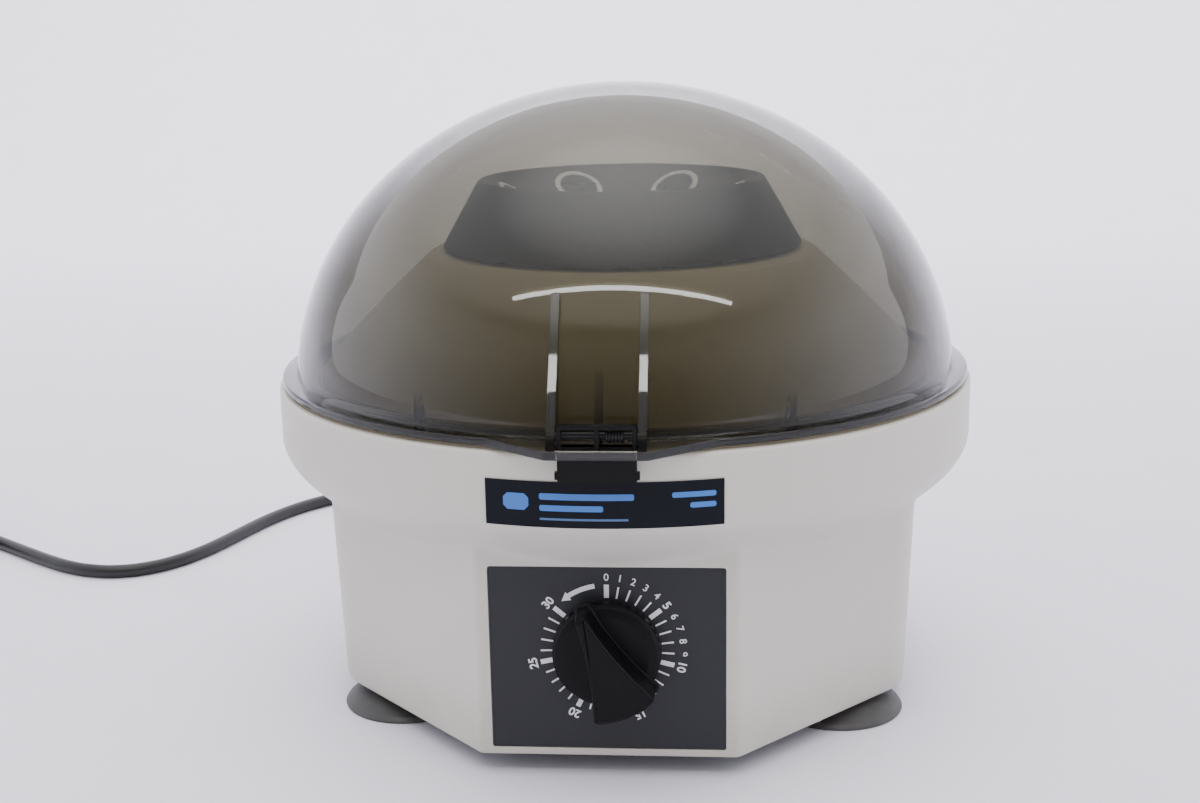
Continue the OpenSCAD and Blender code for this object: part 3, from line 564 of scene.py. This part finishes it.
def lathe_two_poles(prof, n=180):
    verts, faces, rings = [], [], []
    for r, z in prof:
        if r < 1e-6:
            rings.append([len(verts)])
            verts.append((0, 0, z))
        else:
            rings.append(list(range(len(verts), len(verts) + n)))
            verts += [(r * math.cos(2 * math.pi * k / n), r * math.sin(2 * math.pi * k / n), z) for k in range(n)]
    for i in range(len(rings)):
        a, b = rings[i], rings[(i + 1) % len(rings)]
        if len(a) == 1 and len(b) == 1:
            continue
        for k in range(n):
            j = (k + 1) % n
            if len(a) == 1:
                faces.append((a[0], b[k], b[j]))
            elif len(b) == 1:
                faces.append((a[k], b[0], a[j]))
            else:
                faces.append((a[k], b[k], b[j], a[j]))
    return verts, faces


dome_data = lathe_two_poles(build_dome())
dome = new_object("lid_shell", mesh_of("lid_shell", *dome_data), mat=M["clear"], smooth=False)

lip = round_profile([(-46, -138.5), (-43, -141), (-18.5, -160.6), (-17, -161), (17, -161), (18.5, -160.6),
                     (43, -141), (46, -138.5)], [0, 6, 1.5, 0.5, 0.5, 1.5, 6, 0], 5)
lip_o = tool("lip", prism(lip, LID_Z, FZ, "Z"))


def cheek(x0, x1):
    out = [(-160, FZ - 0.5), (-159.6, FZ + 1), (-150, 157.2), (-139.3, 174), (-128.5, 190.6), (-126.9, 191.5)]
    out += [(-dome_at(z) + 1.5, z) for z in (190, 184, 178, 172, 166, 160, 154, 148, FZ - 0.5)]
    return prism(out, x0, x1, "X")


rib = prism([(-148, FZ - 0.5), (-147.4, FZ + 3), (-138.8, 165)] +
            [(-dome_at(z) + 1.5, z) for z in (165, 157, 149, FZ - 0.5)], -1.4, 1.4, "X")
gussets = []
for i in range(6):
    prof = [(133.8, FZ - 0.4)] + [(dome_at(z) - 1.5, z) for z in (FZ - 0.4, 146, 151, 155, 158)]
    v, f = prism(prof, -1.5, 1.5)
    v = [(p[0], p[1], p[2]) for p in v]
    gussets.append((place(v, Matrix.Rotation(math.radians(60 * i), 3, "Z")), f))


def fuse(o, *tools):
    for t in tools:
        b = o.modifiers.new("fuse", "BOOLEAN")
        b.operation, b.solver, b.object = "UNION", "EXACT", t
        apply_mods(o)
        bpy.data.objects.remove(t, do_unlink=True)
    return o


fuse(dome, lip_o, tool("k1", cheek(-17.6, -14.6)), tool("k2", cheek(14.6, 17.6)), tool("k3", rib),
     *[tool("g%d" % i, g) for i, g in enumerate(gussets)])
slot_tool = tool("s1", prism(round_profile([(-14.4, -158.8), (14.4, -158.8), (14.4, -150.3), (-14.4, -150.3)], 0.6, 3),
                             LID_Z - 1, FZ + 1.2, "Z"))
cut(dome, slot_tool)
for p in dome.data.polygons:
    p.use_smooth = True
dome.data.set_sharp_from_angle(angle=math.radians(30))
dome.data.materials.clear()
dome.data.materials.append(M["clear"])
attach(dome, "lid")
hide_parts("lid_dome")

# ------------------------------------------------------------------ feet

foot_prof = round_profile([(0, 0.6), (6, 0.6), (16, 1.2), (24, 0.0), (27.6, 0.0), (28, 1.0), (26.9, 2.5), (21, 4.9),
                           (16, 6.5), (13.2, 8.2), (13, 9), (0, 9)],
                          [0, 1, 2, 1, 0.4, 0.6, 1.5, 3, 2, 1, 0.3, 0], 4)
for name, sx, sy in (("front_left", -1, -1), ("front_right", 1, -1), ("rear_left", -1, 1), ("rear_right", 1, 1)):
    v, f = lathe(foot_prof, 96)
    new_object("suction_" + name, mesh_of("suction_" + name, place(v, at=(92 * sx, 51 * sy, 0)), f), "base",
               ["foot_" + name], M["foot"])

# ------------------------------------------------------------------ knob

KZ = 53.0
turn = Matrix.Rotation(math.radians(-24), 3, "Y")
skirt = lathe(round_profile([(0, 125), (19.9, 125), (20.6, 125.5), (20.6, 129.0), (19.4, 130.4), (16.2, 131.1),
                             (0, 131.2)], [0, 0.3, 0.4, 0.9, 0.9, 2, 0], 4), 144)
skirt = (place(skirt[0], Matrix.Rotation(math.radians(90), 3, "X")), skirt[1])


def grip_ring(y, inset):
    """Outline of the grip, drawn in by inset millimetres, at depth y."""
    base = [(-2.6, 21), (-1.7, 21.9), (1.7, 21.9), (2.6, 21), (3.9, 12), (5.9, 3), (9.2, -8), (13, -18),
            (11.8, -19.6), (7.4, -21.2), (0, -22), (-7.4, -21.2), (-11.8, -19.6), (-13, -18), (-9.2, -8),
            (-5.9, 3), (-3.9, 12)]
    pts = round_profile(base, [0.7, 0.7, 0.7, 0.7, 20, 20, 20, 0.9, 1.4, 6, 9, 6, 1.4, 0.9, 20, 20, 20], 4)
    n, out = len(pts), []
    for i in range(n):
        d = Vector(pts[(i + 1) % n]) - Vector(pts[i - 1])
        nx, nz = -d.y / max(d.length, 1e-6), d.x / max(d.length, 1e-6)
        out.append((pts[i][0] - nx * inset, y, pts[i][1] - nz * inset))
    return out


# the wall flares to a narrow foot on the skirt, and the face is dished between its rolled edges
grip_rows = [grip_ring(-130.0, -0.9), grip_ring(-130.9, -0.75), grip_ring(-131.3, -0.2), grip_ring(-131.8, 0.05),
             grip_ring(-137, 0.3), grip_ring(-142.4, 0.55), grip_ring(-143.0, 0.7), grip_ring(-143.3, 1.0),
             grip_ring(-143.3, 1.35), grip_ring(-143.0, 1.7)]
gn = len(grip_rows[0])
gv = [v for r in grip_rows for v in r]
gf = [tuple(range(gn)), tuple(range(len(gv) - 1, len(gv) - gn - 1, -1))]
for i in range(len(grip_rows) - 1):
    for k in range(gn):
        j = (k + 1) % gn
        gf.append((i * gn + k, i * gn + j, (i + 1) * gn + j, (i + 1) * gn + k))
kv, kf = join(skirt, (gv, gf))
new_object("timer_knob_moulding", mesh_of("timer_knob_moulding", place(kv, turn, (0, 0, KZ)), kf), "knob",
           ["knob"], M["knob"], sharp=40)

# ------------------------------------------------------------------ dial printing on the panel

PY = -123.16


def flat_on_panel(points, depth=0.04):
    return prism(points, PY, PY + depth)


def dial_dir(minute):
    a = math.radians(10.33 * minute)
    return math.sin(a), math.cos(a)


marks = []
for minute in range(31):
    dx, dz = dial_dir(minute)
    major = minute in (0, 5, 10, 15, 20, 25, 30)
    w = 0.95 if major else 0.34
    r0, r1 = (20.9, 26.2) if major else (20.9, 25.6)
    q = [(-w, r0), (w, r0), (w, r1), (-w, r1)]
    marks.append(flat_on_panel([(u * dz + v * dx, KZ + v * dz - u * dx) for u, v in q]))
# curved arrow left of zero
arc = [math.radians(a) for a in range(-34, -9, 3)]
arrow_out, arrow_in = 26.9, 26.9 - 1.9
ring_pts = [(arrow_out * math.sin(a), KZ + arrow_out * math.cos(a)) for a in arc]
inner = [(arrow_in * math.sin(a), KZ + arrow_in * math.cos(a)) for a in arc]
marks.append(flat_on_panel(ring_pts + inner[::-1]))
head = [(27.9, arc[0]), (24.0, arc[0]), (25.9, arc[0] - 0.13)]
marks.append(flat_on_panel([(r * math.sin(a), KZ + r * math.cos(a)) for r, a in head]))
new_object("dial_marks", mesh_of("dial_marks", *join(*marks)), "base", mat=M["print"], smooth=False)

for minute in list(range(11)) + [15, 20, 25, 30]:
    dx, dz = dial_dir(minute)
    t = bpy.data.curves.new("numeral_%d" % minute, "FONT")
    t.body = str(minute)
    t.align_x, t.align_y = "CENTER", "CENTER"
    t.size = (4.6 if minute % 5 == 0 and minute else 4.0) * MM
    t.offset = 0.00012 if minute % 5 == 0 and minute else 0.00004
    t.extrude = 0.02 * MM
    t.materials.append(M["print"])
    o = bpy.data.objects.new("numeral_%d" % minute, t)
    bpy.context.scene.collection.objects.link(o)
    r = 29.0
    # text lies in the XZ plane facing the front, tops outward
    xa, ya, za = Vector((dz, 0, -dx)), Vector((dx, 0, dz)), Vector((0, -1, 0))
    o.matrix_world = Matrix(((xa.x, ya.x, za.x, r * dx * MM), (xa.y, ya.y, za.y, PY * MM),
                             (xa.z, ya.z, za.z, (KZ + r * dz) * MM), (0, 0, 0, 1)))
    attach(o, "base")

# ------------------------------------------------------------------ generic marks on the collar label

def on_label(u0, u1, z0, z1, bite=0.5):
    """A thin patch on the label, u along the arc in mm from the middle, its corners nipped off."""
    n = max(int((u1 - u0) / 0.8), 3)
    cols = [u0, u0 + bite] + [u0 + bite + (u1 - u0 - 2 * bite) * i / n for i in range(1, n)] + [u1 - bite, u1]
    verts, faces = [], []
    for k, u in enumerate(cols):
        e = bite if k in (0, len(cols) - 1) else 0.0
        a = -math.pi / 2 + u / 150.0
        for rad, z in ((150.45, z0 + e), (150.62, z0 + e), (150.62, z1 - e), (150.45, z1 - e)):
            verts.append((rad * math.cos(a), rad * math.sin(a), z))
    for k in range(len(cols) - 1):
        for q in range(4):
            faces.append((4 * k + q, 4 * k + (q + 1) % 4, 4 * k + 4 + (q + 1) % 4, 4 * k + 4 + q))
    last = 4 * (len(cols) - 1)
    faces += [(0, 1, 2, 3), (last + 3, last + 2, last + 1, last)]
    return verts, faces


bars = [on_label(-35, -25.5, 116.4, 122.6, 1.6), on_label(-21.5, 12.5, 120.6, 123.0),
        on_label(-21.5, 1.5, 116.4, 118.6), on_label(26, 42, 121.2, 123.2), on_label(32.5, 42, 117.2, 119.2)]
new_object("label_bars", mesh_of("label_bars", *join(*bars)), "base", mat=M["blue"], smooth=False)
new_object("label_line", mesh_of("label_line", *on_label(-21.5, 10.5, 113.0, 113.8, 0.3)), "base",
           mat=M["blue_dim"], smooth=False)

# ------------------------------------------------------------------ carried-over CAD nodes

LOOK = {
    "base_plate": "base", "base_screws": "screw", "foot_studs": "screw", "bowl": "bowl", "bowl_seal": "seal",
    "bowl_screws": "screw", "rotor_guard": "guard", "panel_plate": "panel", "label_plate": "label",
    "timer_body": "timer",
    "timer_bush": "brass", "timer_nut": "screw", "motor_can": "motor", "motor_field": "copper",
    "motor_top_cap": "alu", "motor_base_frame": "alu", "motor_plate": "motor", "motor_mounts": "seal",
    "bearing_top": "steel", "bearing_bottom": "steel", "brush_holders": "timer", "terminal_block": "timer",
    "cord_gland": "cord", "hinge_bracket": "black", "hinge_pin": "steel", "hinge_screws": "screw",
    "latch_catch": "black", "rotor_body": "rotor", "rotor_hub": "steel", "rotor_nut": "chrome",
    "shield_1": "shield", "shield_2": "shield", "shield_3": "shield", "shield_4": "shield",
    "shield_5": "shield", "shield_6": "shield", "shield_pads": "seal", "motor_shaft": "steel",
    "armature": "copper", "commutator": "brass", "fan": "black", "hinge_leaf": "black",
    "leaf_screws": "screw", "latch_pin": "dark_steel", "latch_lever": "latch", "latch_spring": "dark_steel",
    "timer_shaft": "steel", "cord_tie": "black", "plug_pins": "brass",
}
for node, key in LOOK.items():
    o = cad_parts.get(node)
    if o is None:
        continue
    for s in o.material_slots:
        s.material = M[key]
for node, w in (("latch_lever", 0.5), ("hinge_bracket", 0.5), ("hinge_leaf", 0.5), ("rotor_body", 0.5),
                ("rotor_nut", 0.35), ("panel_plate", 0.2)):
    bevel(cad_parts[node], w, 3, 40)

# ------------------------------------------------------------------ floor, backdrop, light

stage_mat = material("stage_white", (0.855, 0.845, 0.93), 0.7, vary=0.01, rough_vary=0.02, spec=0.25)
# seamless sweep: floor, quarter round, wall
sweep = [(-3.0, 0.0), (1.3, 0.0)]
sweep += [(1.3 + 1.1 * math.sin(math.radians(a)), 1.1 - 1.1 * math.cos(math.radians(a))) for a in range(5, 91, 5)]
sweep += [(2.4, 1.6)]
sv = [(x * 1000, y * 1000, z * 1000) for y, z in sweep for x in (-4.5, 4.5)]
sf = [(2 * i, 2 * i + 1, 2 * i + 3, 2 * i + 2) for i in range(len(sweep) - 1)]
stage = new_object("stage_sweep", mesh_of("stage_sweep", sv, sf), mat=stage_mat, sharp=None)

world = bpy.data.worlds.new("studio")
bpy.context.scene.world = world
world.use_nodes = True
wn = world.node_tree
bg = wn.nodes["Background"]
tc = wn.nodes.new("ShaderNodeTexCoord")
sep = wn.nodes.new("ShaderNodeSeparateXYZ")
wn.links.new(tc.outputs["Generated"], sep.inputs["Vector"])


def world_ramp(axis, stops):
    mr = wn.nodes.new("ShaderNodeMapRange")
    mr.inputs["From Min"].default_value, mr.inputs["From Max"].default_value = -1.0, 1.0
    wn.links.new(sep.outputs[axis], mr.inputs["Value"])
    r = wn.nodes.new("ShaderNodeValToRGB")
    e = r.color_ramp.elements
    e[0].position, e[0].color = (stops[0][0] + 1) / 2, list(stops[0][1]) + [1]
    e[1].position, e[1].color = (stops[-1][0] + 1) / 2, list(stops[-1][1]) + [1]
    for at, c in stops[1:-1]:
        r.color_ramp.elements.new((at + 1) / 2).color = list(c) + [1]
    wn.links.new(mr.outputs["Result"], r.inputs["Fac"])
    return r


# by height: dim warm room low down, ceiling bounce above; by depth: the room in front, white walls beside and behind
room = world_ramp("Z", [(-0.3, (0.10, 0.095, 0.09)), (0.49, (0.10, 0.09, 0.08)), (0.53, (0.02, 0.02, 0.02)),
                        (0.57, (0.02, 0.02, 0.02)), (0.63, (0.42, 0.39, 0.34)), (0.85, (0.5, 0.48, 0.45)),
                        (1.0, (1.2, 1.2, 1.2))])
walls = world_ramp("Z", [(-0.3, (0.8, 0.8, 0.88)), (0.35, (0.82, 0.82, 0.9)), (0.6, (0.5, 0.5, 0.55)),
                         (0.85, (0.6, 0.6, 0.63)), (1.0, (1.4, 1.4, 1.42))])
side = world_ramp("Y", [(-0.95, (0, 0, 0)), (-0.05, (1, 1, 1))])
mix = wn.nodes.new("ShaderNodeMix")
mix.data_type = "RGBA"
wn.links.new(side.outputs["Color"], mix.inputs[MIX_FAC])
wn.links.new(room.outputs["Color"], mix.inputs[MIX_A])
wn.links.new(walls.outputs["Color"], mix.inputs[MIX_B])
wn.links.new(mix.outputs[MIX_OUT], bg.inputs["Color"])
bg.inputs["Strength"].default_value = 2.8


def area(name, at, target, size, power, color=(1, 1, 1), size_y=None):
    d = bpy.data.lights.new(name, "AREA")
    d.energy, d.color, d.shape, d.size = power, color, "RECTANGLE", size
    d.size_y = size_y or size
    o = bpy.data.objects.new(name, d)
    bpy.context.scene.collection.objects.link(o)
    o.location = at
    o.rotation_euler = (Vector(target) - Vector(at)).to_track_quat("-Z", "Y").to_euler()
    return o


area("tube", (0.1, -1.115, 1.447), (0.1, 0, 0.2), 2.2, 7.0, (1, 1, 1), 0.055)
area("wall_wash", (0.0, 1.7, 2.3), (0, 2.4, 1.7), 3.5, 130, (0.96, 0.96, 1), 0.5)
